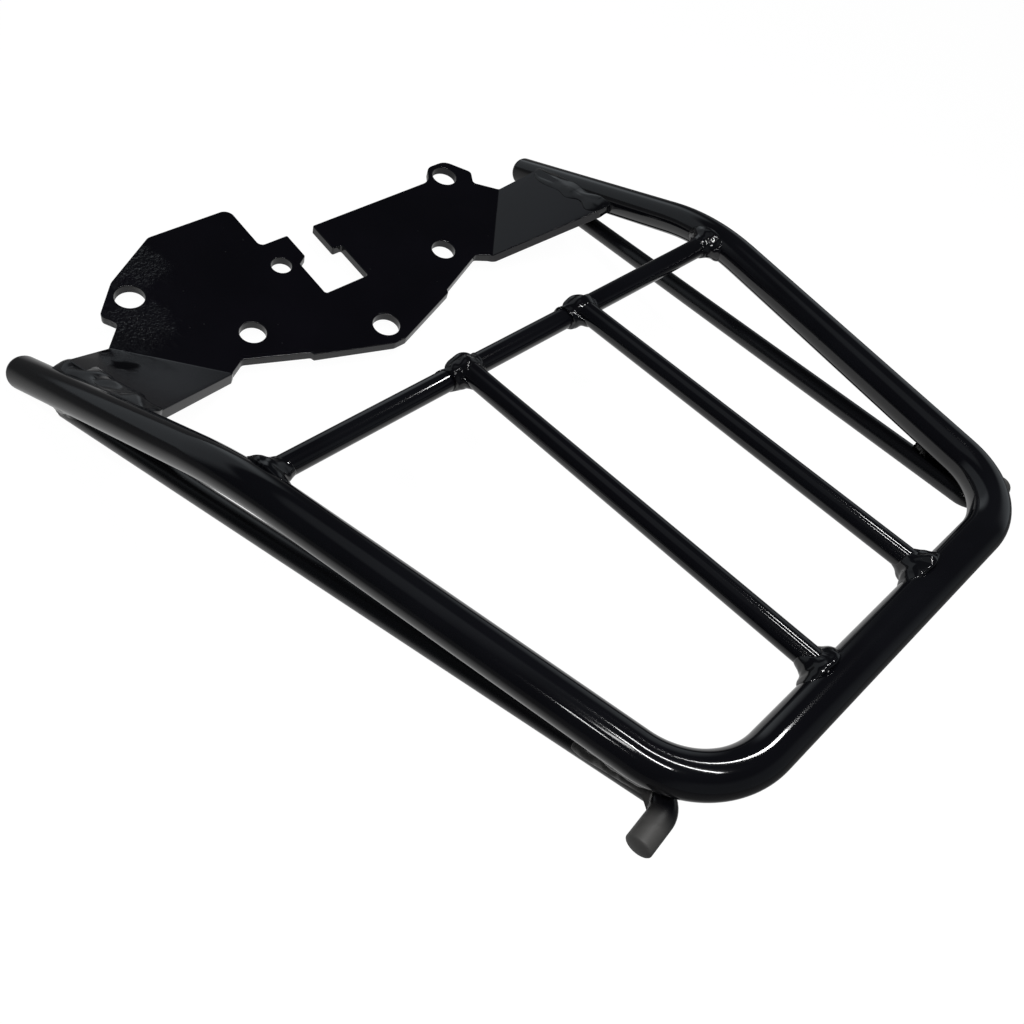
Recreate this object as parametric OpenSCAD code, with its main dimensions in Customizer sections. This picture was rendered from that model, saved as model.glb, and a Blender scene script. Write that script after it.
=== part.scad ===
// Rear luggage rack of welded steel for a small motorcycle.
// The frame is that of the mounting plate: its underside is z = 0, its rear centre hole is at x = 0, y = 0,
// +Y points to the front of the motorcycle and +X to its right side.
// The deck behind the plate is drawn in a frame of its own, which rises to the rear.

/* [Hoop] */
// Outer diameter of the hoop's tube
hoop_d = 16; // [12:0.5:20]
// Wall of the hoop's tube
hoop_wall = 1.6; // [1:0.1:2.5]
// Half the width between the tube's centre lines at the bend in each arm
bend_half_w = 136.5; // [125:0.5:145]
// Half the width between the tube's centre lines at the rear corners
rear_half_w = 97.5; // [80:0.5:110]
// Distance from the cross rod to the tube's centre line at the rear
deck_l = 187; // [150:1:230]
// Distance of the arms' bend in front of the cross rod
bend_ahead = 5.5; // [0:0.5:12]
// Length of the front arms from their bend, seen from above
front_l = 147; // [135:1:160]
// Angle by which the front arms drop below the deck
front_drop = 19.8; // [17:0.2:22]
// Angle by which each front arm spreads outwards, seen from above
front_splay = 8; // [5:0.5:10]
// Radius of the bend in each arm, on the tube's centre line
bend_r = 150; // [60:5:200]
// Radius of the rear corners, on the tube's centre line
corner_r = 34; // [24:1:50]
// Height of the domed plug on each end of the tube
dome_h = 5.5; // [3:0.5:7]
// Length of each plug's spigot inside the tube
spigot_l = 12; // [6:1:20]
// Clearance between a plug's spigot and the tube's bore
spigot_gap = 0.1; // [0.05:0.05:0.3]

/* [Deck] */
// Angle by which the deck rises to the rear above the plate
deck_rise = 11; // [9:0.5:13]
// Distance of the cross rod behind the plate's rear centre hole
deck_back = 78; // [74:1:84]
// Height of the deck's centre plane over the plate's underside, at the cross rod
deck_h = 77; // [74:1:80]
// Diameter of every rod
rod_d = 9.5; // [8:0.5:11]
// Depth of the cross rod's centre line below the deck's centre plane
cross_drop = 1.8; // [0:0.2:3]
// Half the distance between the deck rods at the cross rod
deck_rod_front = 34.3; // [20:0.1:50]
// Half the distance between the deck rods at the rear
deck_rod_rear = 32.5; // [20:0.1:45]
// Height of the deck rods' centre line over the deck's centre plane
deck_rod_lift = 2.2; // [0:0.2:3]

/* [Brace rods] */
// Distance of the brace rods' front ends behind the arms' front ends
brace_inset = 30.5; // [24:0.5:38]
// How far a brace rod's bevelled front end would reach into the arm
brace_bite = 2; // [1:0.1:3]
// Distance of the pegs in front of the tube's centre line at the rear
peg_ahead = 10.5; // [6:0.5:15]
// Clearance between a brace rod and the hoop's tube above its peg
peg_gap = 0.05; // [0:0.05:0.5]
// Length of each peg outwards from the brace rod's centre line, with its round end
peg_l = 20; // [16:0.5:30]
// Angle by which each peg points to the rear
peg_sweep = 6.5; // [0:0.5:12]
// Radius of the bend between a brace rod and its peg, on the rod's centre line
peg_r = 7; // [6:0.5:9]
// Height of the round end of a peg
peg_dome = 1.5; // [0.5:0.1:3]

/* [Mounting plate] */
// Thickness of the plate
plate_t = 5; // [4:0.5:6]
// Distance of the plate's front edge in front of the rear centre hole
plate_front = 73.5; // [70:0.5:78]
// Distance of the left tongue's front edge in front of the rear centre hole
tongue_front = 102.5; // [92:0.5:110]
// Distance of the tongue's right edge to the left of the centre line
tongue_x = 26; // [18:0.5:34]
// Width of the tongue's front edge
tongue_w = 46; // [30:0.5:55]
// Distance of the plate's rear point behind the rear centre hole
rear_point = 12; // [10:0.5:16]
// Angle of both side wings to the plate
wing_fold = 33; // [31:0.5:35]
// Inside radius of the wings' folds
fold_r = 2.5; // [1:0.5:4]
// Distance from the centre line at which the fold lines, at 45 degrees, cross the rear centre hole's line
fold_x = 71; // [69:0.5:73]
// Start of each fold, measured along the fold line from there
fold_start = 16.3; // [14:0.1:19]
// End of each fold, measured in the same way
fold_end = 72.1; // [68:0.1:74]

/* [Holes] */
// Diameter of the two front bolt holes
front_hole_d = 14; // [8:0.5:15]
// Distance between the two front bolt holes
front_hole_gap = 198; // [190:1:202]
// Distance of the front bolt holes in front of the rear centre hole
front_hole_y = 73; // [71:0.5:75]
// Diameter of the two rear bolt holes
rear_hole_d = 13; // [8:0.5:15]
// Distance between the two rear bolt holes
rear_hole_gap = 122; // [112:1:128]
// Distance of the rear bolt holes in front of the rear centre hole
rear_hole_y = 27.5; // [26:0.5:30]
// Diameter of the rear centre hole
centre_hole_d = 14; // [8:0.5:15]
// Diameter of the small hole beside the latch slot
small_hole_d = 10.5; // [6:0.5:12]
// Distance of the small hole to the left of the centre line
small_hole_x = 24; // [22:0.5:28]
// Distance of the small hole in front of the rear centre hole
small_hole_y = 57.5; // [52:0.5:60]

/* [Latch slot] */
// Width of the slot's neck
neck_w = 16; // [12:0.5:18]
// Width of the slot's wide part
slot_w = 27; // [24:0.5:30]
// Front end of the slot's wide part, from the rear centre hole
slot_front = 55; // [50:0.5:60]
// Rear end of the slot's wide part, from the rear centre hole
slot_rear = 31.5; // [25:0.5:40]
// Distance of the slot's middle to the left of the centre line
slot_x = 1.5; // [0:0.5:3]

/* [Welds] */
// Radius of the weld beads round the rods' ends
bead_r = 3; // [2.8:0.1:3.2]
// Distance of those beads from the surface that the rod is welded to
bead_out = 1.6; // [0.8:0.2:2]
// Number of lumps in the weld round a rod's end
lumps = 5; // [4:1:5]
// Radius of the beads in the long welds
seam_r = 5.4; // [5:0.1:6]
// Distance between the beads in the long welds
seam_step = 4.2; // [3:0.1:5]

/* [Hidden] */
left = -1;
right = 1;
// How far a cut reaches past what it cuts, and how far a fold reaches into its plate
over = 1;
// How much thicker than a bar the balls are at its bends
hair = 0.04;
// How far outside a rod's surface the middle of the ring of weld round it runs
ring_gap = 0.6;
// Size of the beads between the brace rods and the arms, and how far outside their middle these run
brace_bead_r = 4.6;
brace_side = 2.8;
paint = [0.03, 0.03, 0.035];
plate_paint = [0.05, 0.05, 0.06];
weld_paint = [0.09, 0.09, 0.1];
hoop_r = hoop_d / 2;
rod_r = rod_d / 2;
bore_d = hoop_d - 2 * hoop_wall;
brace_front = bend_ahead + front_l - brace_inset;
peg_back = deck_l - peg_ahead;
brace_drop = hoop_r + rod_r - brace_bite;
peg_drop = hoop_r + rod_r + peg_gap;

// Vectors and frames
function unit(v) = v / norm(v);
function mix(a, b, t) = a + (b - a) * t;
// Matrix that moves the origin to p and turns the Z axis along z and the X axis towards x
function frame(p, x, z) =
    let (k = unit(z), i = unit(x - (x * k) * k), j = cross(k, i))
    [[i.x, j.x, k.x, p.x], [i.y, j.y, k.y, p.y], [i.z, j.z, k.z, p.z], [0, 0, 0, 1]];
// A direction that isn't along v
function aside(v) = abs(unit(v).x) < 0.9 ? [1, 0, 0] : [0, 1, 0];
// Distance from corner p to where its arc of radius r starts
function arc_start(a, p, b, r) = r / tan(acos(unit(a - p) * unit(b - p)) / 2);
// The path with both ends moved outwards
function stretched(path, by) =
    let (last = len(path) - 1)
    [for (i = [0:last])
        i == 0 ? path[0] + by * unit(path[0] - path[1])
        : i == last ? path[last] + by * unit(path[last] - path[last - 1])
        : path[i]];

// Centre lines in the deck's frame, for the side s
function arm_front(s, l) =
    [s * (bend_half_w + l * tan(front_splay)), bend_ahead + l, -l * tan(front_drop)];
function arm_bend(s) = arm_front(s, 0);
function arm_corner(s) = [s * rear_half_w, -deck_l, 0];
hoop_path = [arm_front(left, front_l), arm_bend(left), arm_corner(left),
    arm_corner(right), arm_bend(right), arm_front(right, front_l)];
hoop_radii = [0, bend_r, corner_r, corner_r, bend_r, 0];
function deck_rod_path(s) = [[s * deck_rod_front, 0, deck_rod_lift], [s * deck_rod_rear, -deck_l, deck_rod_lift]];
function brace_start(s) = arm_front(s, brace_front - bend_ahead) - [0, 0, brace_drop];
function peg_at(s) =
    mix(arm_bend(s), arm_corner(s), (bend_ahead + peg_back) / (bend_ahead + deck_l)) - [0, 0, peg_drop];
function peg_way(s) = [s * cos(peg_sweep), -sin(peg_sweep), 0];
function brace_path(s) = [brace_start(s), peg_at(s), peg_at(s) + (peg_l - peg_dome) * peg_way(s)];

// A straight bar along Z, whose far end is rounded by the height h
module straight_bar(l, r, h) {
    ball_r = h > 0 ? (r * r + h * h) / (2 * h) : r;
    steps = 6;
    if (h > 0)
        rotate_extrude($fn = 48) polygon([[0, 0], [r, 0],
            for (k = [0:steps - 1]) ball_r * [sin(asin(r / ball_r) * (1 - k / steps)),
                cos(asin(r / ball_r) * (1 - k / steps))] + [0, l + h - ball_r],
            [0, l + h]]);
    else
        cylinder(h = l, r = r, $fn = 48);
}

// A bar along a path, with an arc at each inner corner and a far end rounded by the height tip.
// Where a straight stretch meets an arc, a ball a hair thicker than the bar makes them one solid.
module bar_along(path, radii, d, tip = 0) {
    last = len(path) - 1;
    back = [for (i = [0:last]) i == 0 || i == last ? 0
        : arc_start(path[i - 1], path[i], path[i + 1], radii[i])];
    for (i = [1:last]) {
        way = unit(path[i] - path[i - 1]);
        start = path[i - 1] + way * back[i - 1];
        run = norm(path[i] - path[i - 1]) - back[i - 1] - back[i];
        multmatrix(frame(start, aside(way), way)) {
            straight_bar(run, d / 2, i == last ? tip : 0);
            if (i > 1) sphere(d = d + hair, $fn = 48);
            if (i < last) translate([0, 0, run]) sphere(d = d + hair, $fn = 48);
        }
    }
    if (last > 1)
        for (i = [1:last - 1]) bar_arc(path[i - 1], path[i], path[i + 1], radii[i], d);
}

// The arc of a bar at corner p, on the way from a to b
module bar_arc(a, p, b, r, d) {
    u = unit(a - p);
    v = unit(b - p);
    half = acos(u * v) / 2;
    centre = p + unit(u + v) * r / sin(half);
    from = p + u * r / tan(half) - centre;
    to = p + v * r / tan(half) - centre;
    multmatrix(frame(centre, from, cross(from, to)))
        rotate_extrude(angle = 180 - 2 * half, $fn = 120) translate([r, 0]) circle(d = d, $fn = 48);
}

// A cap of a sphere on a round end of radius r
module dome(r, h) {
    ball_r = (r * r + h * h) / (2 * h);
    intersection() {
        translate([0, 0, h - ball_r]) sphere(r = ball_r, $fn = 64);
        cylinder(h = h + over, r = r + over, $fn = 64);
    }
}

// What is drawn for the right side, on the side s
module on_side(s) mirror([s == left ? 1 : 0, 0, 0]) children();

// The deck's frame: its origin is at the middle of the cross rod, and it tilts up to the rear
module on_deck() translate([0, -deck_back, deck_h]) rotate([-deck_rise, 0, 0]) children();

// The filled outline of one half of the hoop, which everything welded to it is cut to
module half_hoop(s)
    bar_along([arm_front(s, front_l), arm_bend(s), arm_corner(s), [0, -deck_l, 0]],
        [0, bend_r, corner_r, 0], hoop_d);

// The same for the straight part of an arm
module arm_bar(s) bar_along([arm_bend(s), arm_front(s, front_l)], [0, 0], hoop_d);

// The angle at which the arms meet the cross rod, and half the rod's length between the arms' centre lines
arm_slant = atan((bend_half_w - rear_half_w) / (bend_ahead + deck_l));
cross_end = bend_half_w - bend_ahead * tan(arm_slant);

module cross_bar()
    translate([-bend_half_w, 0, -cross_drop]) rotate([0, 90, 0]) cylinder(h = 2 * bend_half_w, d = rod_d, $fn = 48);

module hoop() color(paint) on_deck() difference() {
    bar_along(hoop_path, hoop_radii, hoop_d);
    bar_along(stretched(hoop_path, over), hoop_radii, bore_d);
}

// A domed plug in the front end of the tube
module end_plug(s) color(paint) on_deck()
    multmatrix(frame(arm_front(s, front_l), [0, 0, 1], arm_front(s, front_l) - arm_bend(s))) {
        translate([0, 0, -spigot_l]) cylinder(h = spigot_l, d = bore_d - 2 * spigot_gap, $fn = 48);
        dome(hoop_r, dome_h);
    }

module cross_rod() color(paint) on_deck() difference() {
    cross_bar();
    half_hoop(left);
    half_hoop(right);
}

module deck_bar(s) bar_along(deck_rod_path(s), [0, 0], rod_d);

module deck_rod(s) color(paint) on_deck() difference() {
    deck_bar(s);
    cross_bar();
    half_hoop(s);
}

// A brace rod runs under its arm and turns outwards behind it into a peg for straps
module brace_bar() bar_along(brace_path(right), [0, peg_r, 0], rod_d, peg_dome);

module brace_rod(s) color(paint) on_side(s) on_deck() difference() {
    brace_bar();
    arm_bar(right);
}

// The plate's outline: each corner is [x, y, r], and its arc has radius r
function turned(v, a) = [v.x * cos(a) - v.y * sin(a), v.x * sin(a) + v.y * cos(a)];
function corner_arc(a, p, b, r) =
    r == 0 ? [p]
    : let (
        u = unit(a - p), v = unit(b - p), half = acos(u * v) / 2,
        centre = p + unit(u + v) * r / sin(half),
        from = p + u * r / tan(half) - centre,
        turn = (180 - 2 * half) * sign(cross(from, p + v * r / tan(half) - centre)),
        steps = max(2, ceil(abs(turn) / 12)))
    [for (k = [0:steps]) centre + turned(from, turn * k / steps)];
function flat(c) = [c.x, c.y];
function rounded(corners) =
    let (n = len(corners))
    [for (i = [0:n - 1]) each
        corner_arc(flat(corners[(i + n - 1) % n]), flat(corners[i]), flat(corners[(i + 1) % n]), corners[i].z)];
function flipped(corners) =
    let (n = len(corners)) [for (i = [1:n]) [-corners[n - i].x, corners[n - i].y, corners[n - i].z]];

front_hole_x = front_hole_gap / 2;
fold_way = 1 / sqrt(2);
// The point that lies outside the fold line, and along it, by these lengths
function on_fold(outside, along) = [fold_x + (outside + along) * fold_way, (along - outside) * fold_way];
fold_from = on_fold(-over, fold_start - 0.3);
fold_to = on_fold(-over, fold_end + 0.3);
relief_to = on_fold(-14.5, fold_end + 0.3);
// The rear edge, with its small step, from the point to the fold, and the relief beside the fold's front end
rear_edge = [
    [3.5, -rear_point, 3], [43.2, 1.6, 0.6], [44, 3.6, 0.6],
    [fold_from.x - 6.8, fold_from.y + 3.9, 2.5]];
fold_edge = [[fold_from.x, fold_from.y, 0], [fold_to.x, fold_to.y, 0]];
relief = [[relief_to.x, relief_to.y, 2.5]];
right_tab = [
    [front_hole_x + 17.5, front_hole_y - 4, 3], [front_hole_x + 8, front_hole_y + 10, 8],
    [front_hole_x - 5, front_hole_y + 10, 6], [front_hole_x - 11.5, plate_front, 8]];
latch_slot = [
    [neck_w / 2 - slot_x, plate_front, 1], [neck_w / 2 - slot_x, slot_front, 1],
    [slot_w / 2 - slot_x, slot_front, 1], [slot_w / 2 - slot_x, slot_rear, 1.5],
    [-slot_w / 2 - slot_x, slot_rear, 1.5], [-slot_w / 2 - slot_x, slot_front - 1, 1],
    [-neck_w / 2 - slot_x, slot_front + 2.5, 1], [-neck_w / 2 - slot_x, plate_front, 1]];
tongue = [
    [-tongue_x, plate_front, 3], [-tongue_x, tongue_front, 5], [-tongue_x - tongue_w, tongue_front, 5],
    [-front_hole_x - 3, front_hole_y + 11.5, 8], [-front_hole_x - 17.5, front_hole_y - 4, 3]];
plate_outline = rounded(concat(rear_edge, fold_edge, relief, right_tab, latch_slot, tongue,
    flipped(relief), flipped(fold_edge), flipped(rear_edge)));

// A wing's outline in its own frame, whose x goes outwards from the fold and y forwards along it
wing_rear = [64, fold_start + 19.5];
wing_front = [24, fold_end + 10];
wing_outline = rounded([
    [-4 * over - fold_r, fold_start, 0], [fold_r, fold_start, 0], [wing_rear.x, wing_rear.y, 3],
    [wing_front.x, wing_front.y, 3], [fold_r, fold_end, 0], [-4 * over - fold_r, fold_end, 0]]);
// The section across a fold: a strip of the plate, the bend and the wing up to the length l
function fold_arc(r, from, to) =
    let (steps = 8)
    [for (k = [0:steps]) let (a = mix(from, to, k / steps)) [r * sin(a), plate_t + fold_r - r * cos(a)]];
function fold_section(l) =
    let (ends = [for (r = [plate_t + fold_r, fold_r])
        [r * sin(wing_fold) + l * cos(wing_fold), plate_t + fold_r - r * cos(wing_fold) + l * sin(wing_fold)]])
    concat([[-2 * over, 0]], fold_arc(plate_t + fold_r, 0, wing_fold), ends,
        fold_arc(fold_r, wing_fold, 0), [[-2 * over, plate_t]]);

// The frame of a fold line, and the frame of the wing behind it
module at_fold(s) mirror([s == left ? 1 : 0, 0, 0]) translate([fold_x, 0, 0]) rotate(-45) children();
module folded_up() translate([0, 0, plate_t + fold_r]) rotate([0, -wing_fold, 0])
    translate([0, 0, -plate_t - fold_r]) children();

module wing(s) at_fold(s) intersection() {
    translate([0, wing_front.y + over, 0]) rotate([90, 0, 0])
        linear_extrude(wing_front.y - fold_start + 2 * over) polygon(fold_section(wing_rear.x + over));
    folded_up() translate([0, 0, -plate_t]) linear_extrude(3 * plate_t) polygon(wing_outline);
}

module hole(x, y, d) translate([x, y, -over]) cylinder(h = plate_t + 2 * over, d = d, $fn = 64);

module plate_holes() {
    hole(-front_hole_x, front_hole_y, front_hole_d);
    hole(front_hole_x, front_hole_y, front_hole_d);
    hole(-rear_hole_gap / 2, rear_hole_y, rear_hole_d);
    hole(rear_hole_gap / 2, rear_hole_y, rear_hole_d);
    hole(0, 0, centre_hole_d);
    hole(-small_hole_x, small_hole_y, small_hole_d);
}

// One laser-cut plate, whose side wings are folded up to the arms
module mounting_plate() color(plate_paint) difference() {
    union() {
        linear_extrude(plate_t) polygon(plate_outline);
        wing(left);
        wing(right);
    }
    plate_holes();
    on_deck() arm_bar(left);
    on_deck() arm_bar(right);
}

// Lumps in the weld beads: each is a ball a little larger or smaller than the last
function lump(i) = 1 + 0.1 * sin(140 * i);

// A ring of weld round the end of a rod that leaves p along way, at the distance out from there,
// with the rod's centre line lift above p
module ring_weld(p, bar, way, out, lift)
    multmatrix(frame(p, bar, way)) translate([0, lift, out]) {
        rotate_extrude($fn = 48) translate([rod_r + ring_gap, 0]) circle(r = bead_r, $fn = 24);
        for (i = [0:lumps - 1])
            rotate(360 * (i + 0.4) / lumps) translate([rod_r + ring_gap, 0, 0]) sphere(r = bead_r * (lump(i) + 0.05), $fn = 24);
    }

// A row of beads from one point to another
module row_weld(from, to, r) {
    steps = max(1, round(norm(to - from) / seam_step));
    for (i = [0:steps]) translate(mix(from, to, i / steps)) sphere(r = r * lump(i), $fn = 28);
}

module weld_cross(s) color(weld_paint) on_side(s) on_deck() difference() {
    ring_weld([cross_end - (hoop_r - 1 + bead_out) / cos(arm_slant), 0, -cross_drop], [0, 1, 0],
        [-cos(arm_slant), sin(arm_slant), 0], 0, 0);
    half_hoop(right);
    cross_bar();
}

module weld_deck_front(s) color(weld_paint) on_side(s) on_deck() difference() {
    ring_weld([deck_rod_front, 0, -cross_drop], [1, 0, 0], [0, -1, 0],
        rod_r - 2.4 + bead_out, cross_drop + deck_rod_lift);
    cross_bar();
    deck_bar(right);
}

module weld_deck_rear(s) color(weld_paint) on_side(s) on_deck() difference() {
    ring_weld([deck_rod_rear, -deck_l, 0], [-1, 0, 0], [0, 1, 0], hoop_r - 1 + bead_out, deck_rod_lift);
    half_hoop(right);
    deck_bar(right);
}

module weld_brace_front(s) color(weld_paint) on_side(s) on_deck() difference() {
    row_weld(arm_front(right, brace_front - bend_ahead - 16) + [brace_side, 0, -hoop_r],
        arm_front(right, brace_front - bend_ahead + 2) + [brace_side, 0, -hoop_r], brace_bead_r);
    arm_bar(right);
    brace_bar();
}

module weld_brace_rear(s) color(weld_paint) on_side(s) on_deck() difference() {
    row_weld(mix(peg_at(right), brace_start(right), 0.03) + [brace_side, 0, rod_r],
        mix(peg_at(right), brace_start(right), 0.12) + [brace_side, 0, rod_r], brace_bead_r);
    half_hoop(right);
    brace_bar();
}

// The long weld along a wing's outer edge, where the wing meets its arm
module weld_wing(s) color(weld_paint) on_side(s) difference() {
    at_fold(right) folded_up() row_weld([wing_rear.x - 1.5, wing_rear.y + 0.5, plate_t - 3],
        [wing_front.x - 6, wing_front.y + 6, plate_t - 3.5], seam_r);
    on_deck() arm_bar(right);
    at_fold(right) folded_up() linear_extrude(plate_t) polygon(wing_outline);
    at_fold(right) folded_up() translate([0, 0, -wing_front.y]) cube([wing_front.y, 2 * wing_front.y, wing_front.y]);
}

hoop();
end_plug(left);  // end_plug_left
end_plug(right);  // end_plug_right
cross_rod();
deck_rod(left);  // deck_rod_left
deck_rod(right);  // deck_rod_right
brace_rod(left);  // brace_rod_left
brace_rod(right);  // brace_rod_right
mounting_plate();
weld_cross(left);  // weld_cross_left
weld_cross(right);  // weld_cross_right
weld_deck_front(left);  // weld_deck_front_left
weld_deck_front(right);  // weld_deck_front_right
weld_deck_rear(left);  // weld_deck_rear_left
weld_deck_rear(right);  // weld_deck_rear_right
weld_brace_front(left);  // weld_brace_front_left
weld_brace_front(right);  // weld_brace_front_right
weld_brace_rear(left);  // weld_brace_rear_left
weld_brace_rear(right);  // weld_brace_rear_right
weld_wing(left);  // weld_wing_left
weld_wing(right);  // weld_wing_right
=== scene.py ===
# %% [markdown]
# A rear luggage rack of welded steel, painted gloss black, for a small motorcycle.
# A bent tube makes the hoop, plain rods cross it, and a folded plate joins it to the motorcycle.
# Black gloss paint shows almost nothing of its own colour: what the eye reads is what it mirrors.
# So the shapes have to be smooth and true, and the lamps have to stand where the real ones stood.

# %% Load the frame
import math

import bmesh
import bpy
import numpy as np
from mathutils import Matrix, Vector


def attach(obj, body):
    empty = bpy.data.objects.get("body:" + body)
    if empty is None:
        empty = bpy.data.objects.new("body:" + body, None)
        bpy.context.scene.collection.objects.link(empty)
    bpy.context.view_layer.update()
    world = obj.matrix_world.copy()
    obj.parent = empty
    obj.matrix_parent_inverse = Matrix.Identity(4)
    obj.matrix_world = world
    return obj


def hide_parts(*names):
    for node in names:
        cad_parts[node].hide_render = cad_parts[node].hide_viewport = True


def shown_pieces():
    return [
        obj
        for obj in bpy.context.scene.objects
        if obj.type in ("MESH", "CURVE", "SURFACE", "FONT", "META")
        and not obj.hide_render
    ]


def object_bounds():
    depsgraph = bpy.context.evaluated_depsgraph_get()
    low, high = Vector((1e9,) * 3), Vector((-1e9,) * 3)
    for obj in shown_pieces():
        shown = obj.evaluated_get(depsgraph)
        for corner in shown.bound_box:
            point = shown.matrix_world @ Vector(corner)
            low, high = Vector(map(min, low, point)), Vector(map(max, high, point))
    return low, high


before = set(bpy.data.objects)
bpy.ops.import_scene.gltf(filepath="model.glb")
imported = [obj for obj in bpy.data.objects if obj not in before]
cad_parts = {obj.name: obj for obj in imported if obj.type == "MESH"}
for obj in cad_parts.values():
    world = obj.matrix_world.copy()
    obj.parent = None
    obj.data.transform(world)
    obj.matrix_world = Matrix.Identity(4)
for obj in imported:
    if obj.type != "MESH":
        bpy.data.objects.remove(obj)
cad_low, cad_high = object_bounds()
print(len(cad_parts), "nodes, in a box from", [round(x * 1000, 1) for x in cad_low],
      "to", [round(x * 1000, 1) for x in cad_high])

# %% [markdown]
# The measures below are in millimetres. The frame of the part is that of the mounting plate, and the
# deck behind it tilts up to the rear by 11 degrees, so deck points are worked out flat and then turned.

# %% Deck frame
MM = 0.001
deck_rise = math.radians(11)
deck_back, deck_h = 78.0, 77.0


def on_deck(points):
    """Deck points carried to the plate's frame: turned by the rise about X, then moved back and up."""
    x, y, z = np.moveaxis(np.asarray(points, float), -1, 0)
    c, s = math.cos(deck_rise), math.sin(deck_rise)
    return np.stack([x, y * c + z * s - deck_back, -y * s + z * c + deck_h], -1)


deck_up = on_deck([0, 0, 1]) - on_deck([0, 0, 0])
print("deck's up direction", deck_up.round(3))

# %% [markdown]
# The camera stands where the photographer's stood: high on the left of the rack and behind it, turned a
# little about its own axis. Its place and angle come from fitting the part's points to the photograph.

# %% Camera
camera_data = bpy.data.cameras.new("camera")
camera_data.lens = 32.71
camera_data.sensor_width = 36
camera_data.clip_start, camera_data.clip_end = 0.01, 20
camera = bpy.data.objects.new("camera", camera_data)
bpy.context.scene.collection.objects.link(camera)
ahead = np.array([0.50308, 0.23405, -0.83194])
upward = np.array([0.47283, 0.73124, 0.49165])
sideways = np.cross(ahead, upward)
turn = Matrix(np.column_stack([sideways, upward, -ahead]).tolist()).to_4x4()
camera.matrix_world = Matrix.Translation((-0.23905, -0.22335, 0.37113)) @ turn
bpy.context.scene.camera = camera
bpy.context.scene.view_settings.view_transform = "Standard"
print("camera at", [round(x, 3) for x in camera.location])

# %% [markdown]
# Every bar follows a line of straight stretches joined by arcs, as a tube bender leaves it.
# The line is worked out once, and the bar, its welds and its neighbours all read it.

# %% Lines with round corners


def unit(v):
    """v scaled to length 1, along its last axis."""
    v = np.asarray(v, float)
    return v / np.linalg.norm(v, axis=-1, keepdims=True)


def evenly(line, step):
    """The same line with points at even steps, found along its running length."""
    way = np.concatenate([[0], np.cumsum(np.linalg.norm(np.diff(line, axis=0), axis=1))])
    even = np.linspace(0, way[-1], max(2, round(way[-1] / step)))
    return np.stack([np.interp(even, way, line[:, i]) for i in range(3)], -1)


def rounded_line(corners, radii, step=1.5):
    """Points at even steps on straight stretches joined by arcs.
    At corner p with unit ways u and v to its neighbours and half the angle between them h, the arc's
    centre is p + r / sin(h) along u + v. With e1 the way from the centre to the arc's start, a point on
    it is centre + r (cos t e1 - sin t u)."""
    corners = np.asarray(corners, float)
    parts = [corners[:1]]
    for before, p, after, r in zip(corners, corners[1:], corners[2:], radii[1:]):
        u, v = unit(before - p), unit(after - p)
        half = math.acos(u @ v) / 2
        centre = p + unit(u + v) * r / math.sin(half)
        e1 = unit(p + u * r / math.tan(half) - centre)
        t = np.linspace(0, math.pi - 2 * half, 200)[:, None]
        parts.append(centre + r * (np.cos(t) * e1 - np.sin(t) * u))
    return evenly(np.vstack(parts + [corners[-1:]]), step)


# %% [markdown]
# A grid of points becomes a mesh in one go: its rows are rings that close on themselves.
# Where a ring of the grid ends in a point, one vertex closes the pole, so nothing is left open.

# %% Grid to mesh


def volume(points, triangles):
    """Six times the signed volume that the triangles enclose: the sum of a . (b x c)."""
    a, b, c = (points[triangles[:, i]] for i in range(3))
    return float(np.sum(a * np.cross(b, c)))


def mesh_piece(name, points, faces, smooth_to=35):
    """A piece made of points in millimetres and faces as rows of indices, at the origin."""
    mesh = bpy.data.meshes.new(name)
    mesh.from_pydata((points * MM).tolist(), [], faces)
    mesh.validate()
    mesh.shade_smooth()
    mesh.set_sharp_from_angle(angle=math.radians(smooth_to))
    piece = bpy.data.objects.new(name, mesh)
    bpy.context.scene.collection.objects.link(piece)
    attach(piece, "root")
    return piece


def grid_piece(name, grid, start=None, end=None, ring=False, smooth_to=35):
    """A closed surface from a grid of n rings with m points. The rings join into a loop if ring is
    true, and otherwise start and end are the points that close the two poles."""
    n, m = grid.shape[:2]
    index = np.arange(n * m).reshape(n, m)
    low = index if ring else index[:-1]
    high = np.roll(index, -1, 0) if ring else index[1:]
    quads = np.stack([low, np.roll(low, -1, 1), np.roll(high, -1, 1), high], -1).reshape(-1, 4)
    points = grid.reshape(-1, 3)
    fans = np.zeros((0, 3), int)
    if not ring:
        points = np.vstack([points, start, end])
        first, last = index[0], index[-1]
        fans = np.vstack([
            np.stack([np.roll(first, -1), first, np.full(m, n * m)], -1),
            np.stack([last, np.roll(last, -1), np.full(m, n * m + 1)], -1)])
    triangles = np.vstack([quads[:, [0, 1, 2]], quads[:, [0, 2, 3]], fans])
    if volume(points, triangles) < 0:
        quads, fans = quads[:, ::-1], fans[:, ::-1]
    return mesh_piece(name, points, quads.tolist() + fans.tolist(), smooth_to)


# %% [markdown]
# A bar could be a curve with a round bevel, but its rings would then turn as Blender likes. Here each ring
# is worked out from the deck's up direction, so all rings stand the same way and the gloss runs smoothly.

# %% Bars along a line


def rings(line, radius, sides=48):
    """Rings round a line: line + radius (cos a side + sin a top), where side is square to the line
    and to the deck's up direction. The radius may be one number or one for each point."""
    way = unit(np.gradient(line, axis=0))
    side = unit(np.cross(way, deck_up))
    top = np.cross(side, way)
    a = np.linspace(0, 2 * math.pi, sides, endpoint=False)[None, :, None]
    radius = np.broadcast_to(radius, len(line))[:, None, None]
    return line[:, None] + radius * (np.cos(a) * side[:, None] + np.sin(a) * top[:, None])


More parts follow.
